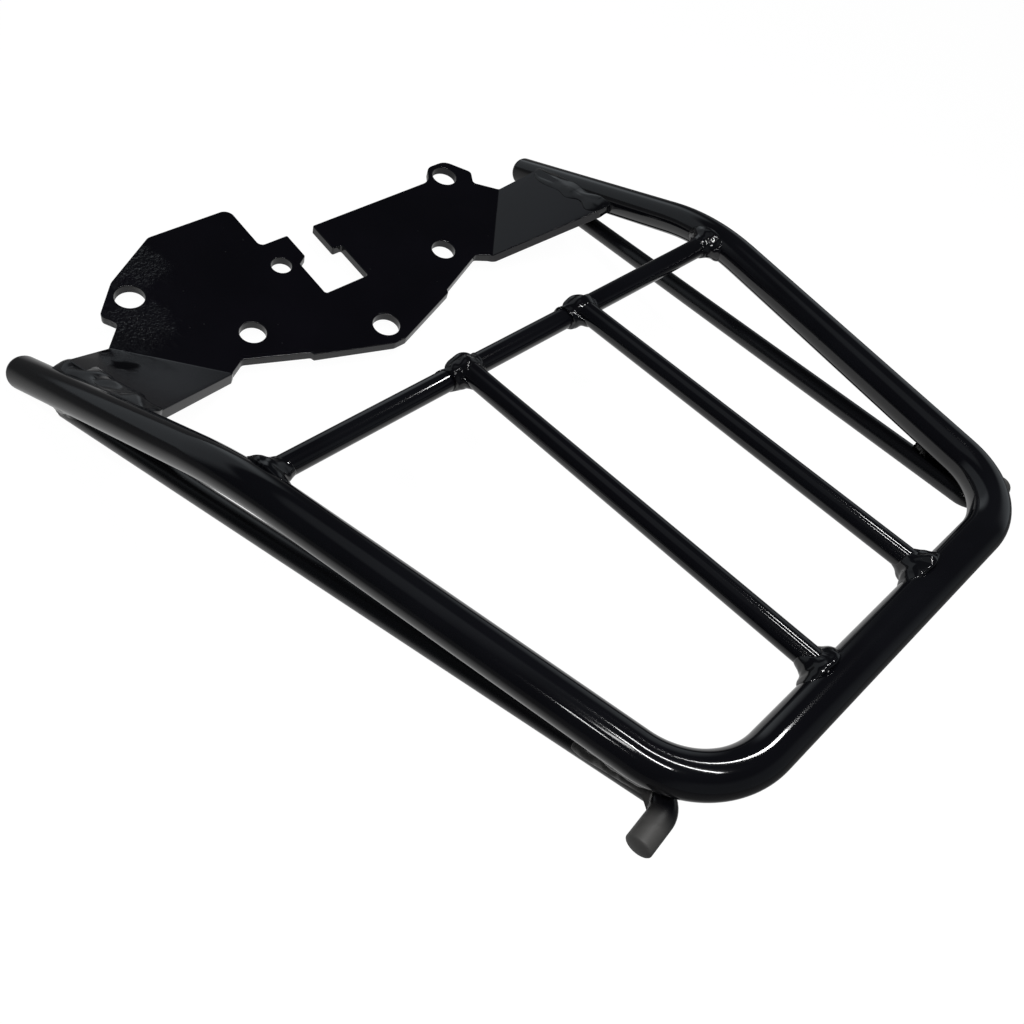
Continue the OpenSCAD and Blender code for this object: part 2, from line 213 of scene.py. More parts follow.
def rounded_end(line, radius, height, steps=8):
    """The line and its radii, with the last stretch drawn in to a cap: at the angle t from 0 to 90 degrees
    a ring lies height (1 - sin t) before the end, and its radius is the bar's times cos t."""
    way = unit(line[-1] - line[-2])
    t = np.linspace(0, math.pi / 2, steps, endpoint=False)[:, None]
    tail = line[-1] - height * (1 - np.sin(t)) * way
    least_gap = 0.2
    keep = (line - tail[0]) @ way < -least_gap
    keep[: len(line) // 2] = True
    body = line[keep]
    radii = np.concatenate([np.full(len(body), radius), radius * np.cos(t[:, 0])])
    return np.vstack([body, tail]), radii


print("a ring of", rings(np.array([[0, 0, 0], [0, 1, 0], [0, 2, 0.0]]), 1.0).shape[1], "points")

# %% [markdown]
# The hoop is one tube, 16 mm across, bent in one piece: two arms that reach forwards and down, a wide
# bend at each side, and two tight corners at the rear. Its ends are open, so it has a bore as well.
# The surface goes out along the outside and comes back along the bore, which closes it into a ring.

# %% Hoop tube
hoop_r, bore_r = 8.0, 6.4
bend_half_w, rear_half_w, deck_l = 136.5, 97.5, 187.0
bend_ahead, front_l = 5.5, 147.0
front_drop, front_splay = math.radians(19.8), math.radians(8)
bend_r, corner_r = 150, 34
tube_sides = 64


def arm(side, length):
    """A point on the front arm, length ahead of its bend: it spreads by 8 and drops by 19.8 degrees."""
    return np.array([side * (bend_half_w + length * math.tan(front_splay)),
                     bend_ahead + length, -length * math.tan(front_drop)])


def corner(side):
    """The rear corner of the hoop's line."""
    return np.array([side * rear_half_w, -deck_l, 0.0])


hoop_line = on_deck(rounded_line(
    [arm(-1, front_l), arm(-1, 0), corner(-1), corner(1), arm(1, 0), arm(1, front_l)],
    [0, bend_r, corner_r, corner_r, bend_r, 0]))
outside = rings(hoop_line, hoop_r, tube_sides)
inside = rings(hoop_line, bore_r, tube_sides)[::-1]
hoop = grid_piece("hoop_tube", np.concatenate([outside, inside]), ring=True)
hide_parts("hoop")
print("hoop line", len(hoop_line), "points")

# %% [markdown]
# Each front end of the tube is closed by a turned plug: a dome outside, a shank in the bore. The dome's
# edge is the tube's own, and the paint runs over both, so only a soft line shows where they meet.

# %% End plugs
dome_h, shank_l, shank_r, shank_edge = 5.5, 12.0, 6.3, 0.6
seam_w, seam_depth = 0.15, 0.35


def plug(name, side):
    """A profile turned round the arm's line: the shank's end, its side, the step and the dome.
    The dome's height over the tube's end is dome_h cos t where its radius is hoop_r sin t."""
    end, back = on_deck(arm(side, front_l)), on_deck(arm(side, 0))
    way = unit(end - back)
    t = np.linspace(math.pi / 2, 0.12, 14)
    shank = [-shank_l, -shank_l + shank_edge, 0.02, 0.02, seam_w]
    along = np.concatenate([shank, seam_w + (dome_h - seam_w) * np.cos(t)])
    shank_radii = [shank_r - shank_edge, shank_r, shank_r, hoop_r - seam_depth, hoop_r - 0.06]
    radius = np.concatenate([shank_radii, hoop_r * np.sin(t)])
    line = end + along[:, None] * way
    side_way = unit(np.cross(way, deck_up))
    top = np.cross(side_way, way)
    a = np.linspace(0, 2 * math.pi, tube_sides, endpoint=False)[None, :, None]
    grid = line[:, None] + radius[:, None, None] * (np.cos(a) * side_way + np.sin(a) * top)
    piece = grid_piece(name, grid, line[0], end + dome_h * way)
    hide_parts("end_plug_left" if side < 0 else "end_plug_right")
    return piece


plugs = [plug("plug_left", -1), plug("plug_right", 1)]
print("plugs", [len(p.data.vertices) for p in plugs])

# %% [markdown]
# Plain rods, 9.5 mm thick, make the deck: one across it and two along it. The ones along it lie a
# little higher, so each of their front ends climbs onto the rod across and ends on top of it.

# %% Deck rods
rod_r, cross_drop, cross_bite = 4.75, 1.8, 3
deck_rod_lift, deck_rod_rear, deck_rod_front = 2.2, 32.5, 34.3
cross_end = bend_half_w - cross_bite
cross_line = on_deck(rounded_line([[-cross_end, 0, -cross_drop], [cross_end, 0, -cross_drop]], [0, 0]))
cross_rod = grid_piece("rod_across", rings(cross_line, rod_r), cross_line[0], cross_line[-1])
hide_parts("cross_rod")


def deck_rod(side):
    """A rod along the deck, from inside the hoop's rear to a round end on the rod across."""
    line = on_deck(rounded_line([[side * deck_rod_rear, -deck_l + 2, deck_rod_lift],
                                 [side * deck_rod_front, -0.4, deck_rod_lift]], [0, 0]))
    body, radii = rounded_end(line, rod_r, 2.2)
    piece = grid_piece("rod_left" if side < 0 else "rod_right", rings(body, radii), body[0], line[-1])
    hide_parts("deck_rod_left" if side < 0 else "deck_rod_right")
    return line


deck_lines = {side: deck_rod(side) for side in (-1, 1)}
print("deck rods", len(deck_lines[1]), "points each")

# %% [markdown]
# Under each arm runs a brace rod. Near the rear corner it turns outwards and ends in a short peg, which
# straps hook onto. It is welded on in front, a little into the arm's underside, and again by the peg.

# %% Brace rods
brace_bite, peg_gap, peg_r, peg_cap = 2, 0.05, 7, 1.5
brace_drop = hoop_r + rod_r - brace_bite
peg_drop = hoop_r + rod_r + peg_gap
brace_inset, peg_ahead = 30.5, 10.5
brace_front = bend_ahead + front_l - brace_inset
peg_back = deck_l - peg_ahead
peg_l, peg_sweep = 20.0, math.radians(6.5)


def brace_corners(side):
    """The brace rod's start under the arm, its turn at the rear and the end of its peg."""
    start = arm(side, brace_front - bend_ahead) - [0, 0, brace_drop]
    share = (bend_ahead + peg_back) / (bend_ahead + deck_l)
    turn_at = arm(side, 0) * (1 - share) + corner(side) * share - [0, 0, peg_drop]
    way = np.array([side * math.cos(peg_sweep), -math.sin(peg_sweep), 0.0])
    return [start, turn_at, turn_at + peg_l * way]


def brace_rod(side):
    """The brace rod with its peg, whose end is a flat cap."""
    line = on_deck(rounded_line(brace_corners(side), [0, peg_r, 0], 0.8))
    body, radii = rounded_end(line, rod_r, peg_cap)
    piece = grid_piece("brace_left" if side < 0 else "brace_right", rings(body, radii), body[0], line[-1])
    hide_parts("brace_rod_left" if side < 0 else "brace_rod_right")
    return line


brace_lines = {side: brace_rod(side) for side in (-1, 1)}
print("brace rods", len(brace_lines[1]), "points each")

# %% [markdown]
# The mounting plate is cut flat from 5 mm steel, and its two wings are then folded up to the arms.
# It is made here in the same order: a flat blank with its holes, cut by a curve with filled insides and
# a small bevel, sliced across each bend, and then rolled up by moving its points.

# %% Outline of the blank
plate_t, fold_r, fold_x = 5.0, 2.5, 71.0
wing_fold = math.radians(33)
fold_start, fold_end = 16.3, 72.1
bend_l = wing_fold * (fold_r + plate_t / 2)
half_root = math.sqrt(0.5)
fold_at = np.array([fold_x, 0.0])
fold_out, fold_along = np.array([half_root, -half_root]), np.array([half_root, half_root])


def beside_fold(out, along):
    """A point of the blank, given by its distances outside and along the fold line."""
    return tuple(fold_at + out * fold_out + along * fold_along)


def rounded_outline(corners, degrees=9):
    """The closed outline through corners (x, y, r), each with an arc of its radius r."""
    corners = np.asarray(corners, float)
    flat, r = corners[:, :2], corners[:, 2]
    u, v = unit(np.roll(flat, 1, 0) - flat), unit(np.roll(flat, -1, 0) - flat)
    half = np.arccos(np.clip(np.sum(u * v, 1), -1, 1)) / 2
    parts = []
    for p, a, b, h, radius in zip(flat, u, v, half, r):
        if radius == 0:
            parts.append(p[None])
            continue
        centre = p + unit(a + b) * radius / math.sin(h)
        e1 = unit(p + a * radius / math.tan(h) - centre)
        turn_by = math.pi - 2 * h
        t = np.linspace(0, turn_by, max(3, math.ceil(math.degrees(turn_by) / degrees)))[:, None]
        parts.append(centre + radius * (np.cos(t) * e1 - np.sin(t) * a))
    return np.vstack(parts)


def flipped(corners):
    """The same corners on the other side, in the opposite order."""
    return [(-x, y, r) for x, y, r in corners[::-1]]


rear_edge = [(3.5, -12, 3), (43.2, 1.6, 0.6), (44, 3.6, 0.6), (*beside_fold(-8.5, 14), 2.5),
             (*beside_fold(-0.5, fold_start), 0.5)]
wing_edge = [(*beside_fold(bend_l, fold_start), 0), (*beside_fold(bend_l + 64, fold_start + 19.5), 3),
             (*beside_fold(bend_l + 24, fold_end + 10), 3), (*beside_fold(bend_l, fold_end), 0)]
relief = [(*beside_fold(-0.5, fold_end), 0.4), (*beside_fold(-14.5, fold_end), 2.5)]
right_tab = [(116.5, 69, 3), (107, 83, 8), (94, 83, 6), (87.5, 73.5, 8)]
latch_slot = [(6.5, 73.5, 1), (6.5, 55, 1), (12, 55, 1), (12, 31.5, 1.5), (-15, 31.5, 1.5), (-15, 54, 1),
              (-9.5, 57.5, 1), (-9.5, 73.5, 1)]
tongue = [(-26, 73.5, 3), (-26, 102.5, 5), (-72, 102.5, 5), (-102, 84.5, 8), (-116.5, 69, 3)]
blank = rounded_outline(rear_edge + wing_edge + relief + right_tab + latch_slot + tongue
                        + flipped(relief) + flipped(wing_edge) + flipped(rear_edge))
holes = [(-99, 73, 7), (99, 73, 7), (-61, 27.5, 6.5), (61, 27.5, 6.5), (0, 0, 7), (-24, 57.5, 5.25)]
print("blank", len(blank), "points,", len(holes), "holes")

# %% [markdown]
# A flat curve with several closed outlines fills the first and leaves the others open, as a laser cut does.
# Its extrusion gives the thickness, and its bevel breaks the sharp edges, so that they catch the light.

# %% Cut the blank
edge_round = 0.45


def cut_blank(outline, round_holes):
    """A filled flat curve with thickness and a rounded edge, turned into a mesh."""
    curve = bpy.data.curves.new("blank", "CURVE")
    curve.dimensions = "2D"
    curve.fill_mode = "BOTH"
    curve.extrude = (plate_t / 2 - edge_round) * MM
    curve.bevel_depth = edge_round * MM
    curve.bevel_resolution = 2
    curve.offset = -edge_round * MM
    t = np.linspace(0, 2 * math.pi, 64, endpoint=False)
    loops = [outline] + [np.stack([x + r * np.sin(t), y + r * np.cos(t)], -1) for x, y, r in round_holes]
    for loop in loops:
        spline = curve.splines.new("POLY")
        spline.points.add(len(loop) - 1)
        four = np.column_stack([loop * MM, np.zeros(len(loop)), np.ones(len(loop))])
        spline.points.foreach_set("co", four.astype(np.float32).ravel())
        spline.use_cyclic_u = True
    shown = bpy.data.objects.new("blank", curve)
    bpy.context.scene.collection.objects.link(shown)
    bpy.context.view_layer.update()
    mesh = bpy.data.meshes.new_from_object(shown.evaluated_get(bpy.context.evaluated_depsgraph_get()))
    bpy.data.objects.remove(shown)
    return mesh


blank_mesh = cut_blank(blank, holes)
print("blank mesh", len(blank_mesh.vertices), "vertices")

# %% [markdown]
# A press brake rolls the steel round its nose. The faces need cuts along the bend to follow it, and then
# each point moves on its own circle. A Bend modifier could do this too, but it bends all that is beside it.

# %% Slice and fold the wings
wing_flare = 45


def sliced(mesh):
    """The blank with its doubles merged, and cut by planes across each bend that its faces can follow."""
    bm = bmesh.new()
    bm.from_mesh(mesh)
    bmesh.ops.remove_doubles(bm, verts=bm.verts, dist=1e-6)
    for side in (-1, 1):
        normal = (side * half_root, -half_root, 0)
        for out in np.linspace(0, bend_l, 9):
            x, y = beside_fold(out, 0)
            bmesh.ops.bisect_plane(bm, geom=bm.verts[:] + bm.edges[:] + bm.faces[:], dist=1e-7,
                                   plane_co=(side * x * MM, y * MM, 0), plane_no=normal)
    bm.to_mesh(mesh)
    bm.free()
    return mesh


def folded(points):
    """Points of the blank rolled up round each bend. With out the distance outside the fold line, the
    angle is a = out / bend_l of the fold, up to all of it. The point turns by a about a line that lies
    the plate's thickness and the inner radius above the underside, and what is further out follows."""
    points = points.copy()
    mirror = np.where(points[:, 0] < 0, -1.0, 1.0)
    x, y, z = np.abs(points[:, 0]), points[:, 1], points[:, 2] + plate_t / 2
    out = (x - fold_x) * half_root - y * half_root
    along = (x - fold_x) * half_root + y * half_root
    wing = (out > 0) & (along > fold_start - 1) & (along < fold_end + wing_flare) & (x > fold_x)
    a = np.clip(out / bend_l, 0, 1) * wing_fold
    beyond = np.clip(out - bend_l, 0, None)
    radius = plate_t + fold_r - z
    new_out = np.where(wing, radius * np.sin(a) + beyond * np.cos(a), out)
    new_z = np.where(wing, plate_t + fold_r - radius * np.cos(a) + beyond * np.sin(a), z)
    plan = fold_at + new_out[:, None] * fold_out + along[:, None] * fold_along
    return np.column_stack([plan[:, 0] * mirror, plan[:, 1], new_z])


plate_mesh = sliced(blank_mesh)
flat_points = np.zeros(len(plate_mesh.vertices) * 3, np.float32)
plate_mesh.vertices.foreach_get("co", flat_points)
plate_points = folded(flat_points.reshape(-1, 3).astype(float) / MM)
plate_mesh.vertices.foreach_set("co", (plate_points * MM).astype(np.float32).ravel())
plate_mesh.shade_smooth()
plate = bpy.data.objects.new("plate", plate_mesh)
bpy.context.scene.collection.objects.link(plate)
weighted = plate.modifiers.new("flat faces stay flat", "WEIGHTED_NORMAL")
weighted.mode = "FACE_AREA_WITH_ANGLE"
weighted.weight = 80
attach(plate, "root")
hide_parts("mounting_plate")
print("plate", plate_points.min(0).round(1), plate_points.max(0).round(1))

# %% [markdown]
# A weld bead fills the corner between two bars and runs out smoothly on both. The same shape comes from
# a smooth union: where the distances to the two bars are nearly equal, they are blended, and the
# surface where the blend is zero is a round fillet. Each bead is a grid of points pulled onto it.

# %% Smooth union of two bars


def from_line(points, line):
    """The distance of each point from the nearest point of a line, and the unit way out from there."""
    gap = points[..., None, :] - line
    near = np.argmin(np.sum(gap * gap, -1), -1)
    way = points - line[near]
    far = np.linalg.norm(way, axis=-1)
    return far, way / np.maximum(far, 1e-6)[..., None]


def bar(line, radius):
    """A function that gives the distance from a bar's surface and the way out of it."""
    fine = evenly(line, 0.3)

    def away(points):
        far, way = from_line(points, fine)
        return far - radius, way

    return away


def blend(points, first, second, size):
    """The smooth union of two distances a and b: h = 1/2 + (b - a) / (2 size), kept between 0 and 1,
    and then f = b (1 - h) + a h - size h (1 - h). The way out is blended by the same h."""
    a, a_way = first(points)
    b, b_way = second(points)
    h = np.clip(0.5 + (b - a) / (2 * size), 0, 1)
    way = b_way * (1 - h[..., None]) + a_way * h[..., None]
    return b * (1 - h) + a * h - size * h * (1 - h), way


def pulled(points, first, second, size, times=12):
    """Points moved onto the smooth union by Newton's steps, and the unit ways out there."""
    for _ in range(times):
        f, way = blend(points, first, second, size)
        points = points - (f / np.maximum(np.sum(way * way, -1), 0.05))[..., None] * way
    return points, unit(way)


print("smooth union ready")

# %% [markdown]
# No bead is even. A noise texture would only shade it, so the unevenness is worked out for each point, as a
# sum of a few sines in random directions. Its seed is fixed, so the beads are the same in each run.

# %% Uneven steel


def uneven(points, size, seed):
    """A smooth random value from about -1 to 1 at each point: eight sines added up, whose waves run in
    random directions and are between size and 2.2 size long."""
    rng = np.random.default_rng(seed)
    ways = unit(rng.normal(size=(8, 3)))
    waves = 2 * math.pi / (size * rng.uniform(1, 2.2, 8))
    return np.sin(points @ (ways * waves[:, None]).T + rng.uniform(0, 2 * math.pi, 8)).sum(-1) / 2.8


print("a few uneven values", uneven(np.arange(12.0).reshape(4, 3), 5, 1).round(2))

# %% [markdown]
# Where a rod ends on a bar, its bead is a ring. The rod's end is searched for the place where it leaves
# the bar, and the ring's face reaches from there a few millimetres up the rod and out on the bar.

# %% Ring welds
search_step, search_length = 0.2, 26
too_far, usual_depth = 20, 4


def near_part(line, at, reach=30):
    """The stretch of a line that lies within reach of a point."""
    return line[np.linalg.norm(line - at, axis=1) < reach]


def weld_piece(name, node, grid, ring=False, smooth_to=75):
    """A bead from a grid of points: rings that join into a loop, or sections with a pole at each end."""
    piece = grid_piece(name, grid, grid[0].mean(0), grid[-1].mean(0), ring, smooth_to)
    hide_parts(node)
    return piece


def ring_weld(name, node, base_line, base_r, rod_line, at, way, size, seed, lean=0.0, bulge=0.9):
    """A bead round the end of a rod. Round the rod by the angle a, a curve runs from the rod's surface,
    over the corner, to the surface of the bar that carries it. It is pulled onto the smooth union, and
    then swells by bulge sin(pi t) plus uneven lumps. Its inner side lies hidden in the steel."""
    base = bar(near_part(base_line, at), base_r)
    rod = bar(near_part(rod_line, at), rod_r)
    e1 = unit(np.cross(way, deck_up))
    e2 = np.cross(e1, way)
    a = np.linspace(0, 2 * math.pi, 120, endpoint=False)[:, None]
    outwards = np.cos(a) * e1 + np.sin(a) * e2
    s = np.arange(search_step, search_length, search_step)
    depth = base(at + rod_r * outwards[:, None] + s[None, :, None] * way)[0]
    meets = np.where(depth > 0, s, np.inf).min(1)
    meets = np.where(meets > too_far, usual_depth, meets)[:, None]
    joint = at + rod_r * outwards + meets * way
    reach = size * (1 + 0.16 * uneven(joint, 6, seed + 20))[:, None]
    up_rod = joint + way * reach
    on_base = joint + outwards * reach - way * reach * lean
    t = np.linspace(0, 1, 25)[:, None, None]
    curve = (1 - t) ** 2 * up_rod + 2 * t * (1 - t) * joint + t ** 2 * on_base
    face, out = pulled(curve, rod, base, size)
    lumps = 0.5 * uneven(face, 5.2, seed) + 0.1 * uneven(face, 2.4, seed + 40)
    face = face + (np.sin(math.pi * t[..., 0]) ** 0.7 * (bulge + lumps))[..., None] * out
    tucked = np.stack([face[0] - 0.5 * out[0], *face, face[-1] - 0.5 * out[-1]])
    core = (joint - 2.5 * outwards - 2.5 * way)[None]
    return weld_piece(name, node, np.concatenate([tucked, core]), ring=True)


def hump(name, node, centre, axes, seed):
    """A lump of weld metal: an ellipsoid with the half axes given, swollen unevenly."""
    a = np.linspace(0, 2 * math.pi, 56, endpoint=False)[None, :, None]
    b = np.linspace(0.06, math.pi - 0.06, 28)[:, None, None]
    x, y, z = axes
    ball = np.cos(b) * x + np.sin(b) * (np.cos(a) * y + np.sin(a) * z)
    return weld_piece(name, node, centre + ball * (1 + 0.07 * uneven(centre + ball, 4, seed))[..., None])


hands = ((-1, "left"), (1, "right"))
welds = []
for side, word in hands:
    x = bend_half_w - bend_ahead * math.tan(front_splay) - 0.3
    welds.append(ring_weld(
        "weld_across_" + word, "weld_cross_" + word, hoop_line, hoop_r, cross_line,
        on_deck([side * x, 0, -cross_drop]), np.array([-side, 0.0, 0.0]), 7.0, 11 + side, bulge=1.2))
    rod_way = unit(deck_lines[side][0] - deck_lines[side][-1])
    welds.append(ring_weld(
        "weld_top_" + word, "weld_deck_front_" + word, cross_line, rod_r, deck_lines[side][:-2],
        on_deck([side * deck_rod_front, 0, deck_rod_lift]), rod_way, 5.6, 21 + side, lean=1.3))
    sides = np.array([[6.6, 0, 0], [0, 3.6, -0.6], [0, 0.6, 3.4]])
    welds.append(hump(
        "weld_hump_" + word, "weld_deck_front_" + word, on_deck([side * deck_rod_front, 2.0, 1.9]),
        on_deck(sides) - on_deck([0, 0, 0]), 5 + side))
    welds.append(ring_weld(
        "weld_rear_" + word, "weld_deck_rear_" + word, hoop_line, hoop_r, deck_lines[side],
        on_deck([side * deck_rod_rear, -deck_l, deck_rod_lift]), -rod_way, 6.6, 31 + side, bulge=1.1))
print(len(welds), "pieces of weld round the rods")

# %% [markdown]
# Where a brace rod lies against its arm the bead is a straight one: it fills the groove between the two
# round bars on the outer side, and fades out at both ends.

# %% Groove welds


def groove_weld(name, node, arm_line, rod_line, start, end, out, up, size, seed, bulge=0.4):
    """A bead in the groove between an arm and its brace rod, from start to end. Across the groove its
    face goes from one bar to the other, swollen by bulge sin(pi v) and uneven lumps. Along it, at the
    share u, its size follows the root of 1 - (2 u - 1)^2."""
    arm_bar, rod = bar(near_part(arm_line, (start + end) / 2, 60), hoop_r), bar(rod_line, rod_r)
    u = np.linspace(0, 1, 71)[:, None]
    v = np.linspace(0, 1, 19)
    along = start + u * (end - start)
    fade = np.sqrt(np.clip(1 - (2 * u - 1) ** 2, 0, 1))
    width = (0.25 + 0.75 * fade) * size
    bow = abs(1 - 2 * v)
    grid = (along[:, None] + (width * 0.9 * (1 - 2 * v))[..., None] * up
            + (width * (0.25 + 1.2 * bow))[..., None] * out)
    face, way = pulled(grid, arm_bar, rod, width)
    lumps = bulge + 0.45 * uneven(face, 4.2, seed) + 0.15 * uneven(face, 2, seed + 9)
    face = face + (fade * np.sin(math.pi * v) * lumps)[..., None] * way
    core = (along - 1.5 * out)[:, None]
    return weld_piece(name, node, np.concatenate([face, core], 1))


outward_x = np.array([1.0, 0.0, 0.0])
for side, word in hands:
    reach = brace_front - bend_ahead
    front = [on_deck(arm(side, reach + more) + [side * 3.6, 0, -hoop_r - 0.6]) for more in (-17, 2)]
    welds.append(groove_weld(
        "weld_brace_front_bead_" + word, "weld_brace_front_" + word, hoop_line, brace_lines[side],
        *front, side * outward_x, deck_up, 4.4, 41 + side))
    ends = brace_corners(side)
    rear = [on_deck(ends[1] * (1 - t) + ends[0] * t + [side * 3.6, 0, rod_r + 0.4]) for t in (0.02, 0.115)]
    welds.append(groove_weld(
        "weld_brace_rear_bead_" + word, "weld_brace_rear_" + word, hoop_line, brace_lines[side],
        *rear, side * outward_x, deck_up, 5.6, 51 + side, bulge=1.3))
print(len(welds), "welds")

# %% [markdown]
# The longest bead joins each wing to its arm. The wing's edge passes over the tube in front and meets
# its side further back, so the bead is a slope from the top of the tube up to the wing's top face. It is
# broad and was laid by hand in overlapping blobs, and the left one is rougher than the right.

# %% Wing welds


def wing_point(side, out, along, height):
    """A point of a wing: out from its bend, along the fold line, and its height over the underside."""
    h = height - plate_t - fold_r
    flat_out = -h * math.sin(wing_fold) + out * math.cos(wing_fold)
    z = plate_t + fold_r + h * math.cos(wing_fold) + out * math.sin(wing_fold)
    plan = fold_at + flat_out * fold_out + along * fold_along
    return np.array([side * plan[0], plan[1], z])


def wing_weld(side, word, ripple):
    """A bead from the tube up to the wing. Each section lies square to the tube. With n the wing's
    normal and w the way in towards the wing, it starts on the tube at the angle lift over w, and ends
    on the wing's top face, spread from the tube's middle. The face between is a chord that swells by
    sin(pi v)^0.6, and ripple says how much of the lumps it gets."""
    n = unit(wing_point(side, 0, 0, 1) - wing_point(side, 0, 0, 0))
    origin = wing_point(side, 0, 40, plate_t)
    rear = wing_point(side, 62, fold_start + 16.5, plate_t)
    front = wing_point(side, 27, fold_end + 18, plate_t)
    u = np.linspace(0, 1, 181)[:, None]
    fine = evenly(near_part(hoop_line, (rear + front) / 2, 90), 0.2)
    target = rear + u * (front - rear)
    way = unit(front - rear)
    place = np.argmin(abs((fine[None] - target[:, None]) @ way), 1)
    middle = fine[place]
    w = unit(np.cross(way, n)) * np.sign(np.cross(way, n) @ (origin - middle[0]))
    height = ((origin - middle) @ n)[:, None]
    wander = uneven(middle, 13, 60 + side)[:, None]
    lift = np.radians(36 + 58 * u + 5 * wander)
    top = middle + hoop_r * (np.cos(lift) * w + np.sin(lift) * n)
    spread = 16.2 + 1.1 * uneven(middle, 9, 70 + side)[:, None]
    across = np.sqrt(np.clip(spread ** 2 - height ** 2, 30, None))
    seam = middle + across * w + height * n
    swell_way = unit(np.cross(seam - top, way))
    swell_way = swell_way * np.sign(np.sum(swell_way * n, -1, keepdims=True))
    end_fade = np.clip(np.minimum(u / 0.07, (1 - u) / 0.13), 0, 1)
    shrink = 0.02 + 0.98 * np.sqrt(1 - (1 - end_fade) ** 2)
    seam = top + shrink * (seam - top)
    v = np.linspace(0, 1, 29)
    chord = top[:, None] + v[:, None] * (seam - top)[:, None]
    stretched = chord - 0.45 * (chord @ way)[..., None] * way
    creases = abs(uneven(stretched, 8.0, 85 + side))
    blobs = 0.55 * uneven(stretched, 6.5, 80 + side) + 0.12 * uneven(stretched, 3.0, 90 + side)
    swell = 0.9 + ripple * (0.8 * creases + blobs - 0.35)
    rise = np.sin(math.pi * v) ** 0.6 * (0.15 + 0.85 * shrink)
    face = chord + (rise * swell)[..., None] * swell_way[:, None]
    first = top - 0.6 * n
    under = seam - shrink * (plate_t + 0.4) * n - 0.4 * (1 - shrink) * n
    low = np.radians(-8 + 50 * u)
    foot = middle + (hoop_r - 0.5) * (np.cos(low) * w + np.sin(low) * n)
    loop = [first[:, None], face, (seam - 0.5 * n)[:, None], under[:, None], foot[:, None]]
    return weld_piece("weld_wing_bead_" + word, "weld_wing_" + word, np.concatenate(loop, 1))


welds += [wing_weld(-1, "left", 1.0), wing_weld(1, "right", 0.35)]
print(len(welds), "pieces of weld in all")

# %% [markdown]
# Shader maths reads best as plain expressions. A small class wraps a socket, and each operator adds the
# Math node that it stands for. Every other node comes from one method.

# %% Shader sockets


class Value:
    """A shader socket that can be added, multiplied and so on, with numbers or other sockets."""

    def __init__(self, maker, socket):
        self.maker, self.socket = maker, socket

    def math(self, operation, *others, clamp=False):
        made = self.maker.node("ShaderNodeMath", {i: x for i, x in enumerate(others)},
                               operation=operation, use_clamp=clamp)
        return Value(self.maker, made.outputs[0])

    def __add__(self, other):
        return self.math("ADD", self, other)

    def __sub__(self, other):
        return self.math("SUBTRACT", self, other)

    def __mul__(self, other):
        return self.math("MULTIPLY", self, other)

    def __truediv__(self, other):
        return self.math("DIVIDE", self, other)

    def __rsub__(self, other):
        return self.math("SUBTRACT", other, self)

    def __rtruediv__(self, other):
        return self.math("DIVIDE", other, self)

    def __neg__(self):
        return self.math("MULTIPLY", self, -1)

    __radd__, __rmul__ = __add__, __mul__

    def clamped(self):
        return self.math("ADD", self, 0, clamp=True)

    def root(self):
        return self.math("SQRT", self)

    def size(self):
        return self.math("ABSOLUTE", self)

    def step(self, low, high):
        """0 below low, 1 above high, and smooth between them."""
        made = self.maker.node("ShaderNodeMapRange", {"Value": self, "From Min": low, "From Max": high},
                               interpolation_type="SMOOTHSTEP")
        return Value(self.maker, made.outputs[0])


class Maker:
    """The node tree of a material or the world."""

    def __init__(self, owner):
        owner.use_nodes = True
        self.tree = owner.node_tree
        self.tree.nodes.clear()

    def node(self, kind, values=None, **settings):
        """A node of a kind, with its settings and the values or links of its sockets."""
        made = self.tree.nodes.new(kind)
        for key, value in settings.items():
            setattr(made, key, value)
        for key, value in (values or {}).items():
            socket = made.inputs[key]
            if isinstance(value, Value):
                self.tree.links.new(value.socket, socket)
            elif isinstance(value, bpy.types.NodeSocket):
                self.tree.links.new(value, socket)
            else:
                socket.default_value = value
        return made

    def value(self, kind, output, values=None, **settings):
        return Value(self, self.node(kind, values, **settings).outputs[output])

    def noise(self, place, scale, detail=2.0, roughness=0.5):
        return self.value("ShaderNodeTexNoise", "Fac", {
            "Vector": place, "Scale": scale, "Detail": detail, "Roughness": roughness})

    def colours(self, share, first, second):
        """A mix of two colours, each of them a row of three numbers or a socket."""
        made = self.node("ShaderNodeMix", {"Factor": share}, data_type="RGBA")
        for socket, colour in ((made.inputs[6], first), (made.inputs[7], second)):
            if isinstance(colour, tuple):
                socket.default_value = (*colour, 1)
            else:
                self.tree.links.new(colour, socket)
        return made.outputs[2]


print("shader helpers ready")

# %% [markdown]
# Powder coat in gloss black: it mirrors like a dark pane, and its skin rolls a little, so the mirror
# images of the lamps waver. Here and there a grain of dust lies under it. The bump is kept tiny,
# because on a mirror-like skin a hundredth of a millimetre already shows. The beads laid by hand, on the
# left wing and at the front of the braces, are rougher, and their lighter grey base colour is painted
# sheen, in place of the grey that they mirror. The beads by the pegs get a lighter grey still, also
# painted sheen, and the pegs themselves are worn grey.

# %% Paint
worn_colour = (0.078, 0.076, 0.073)


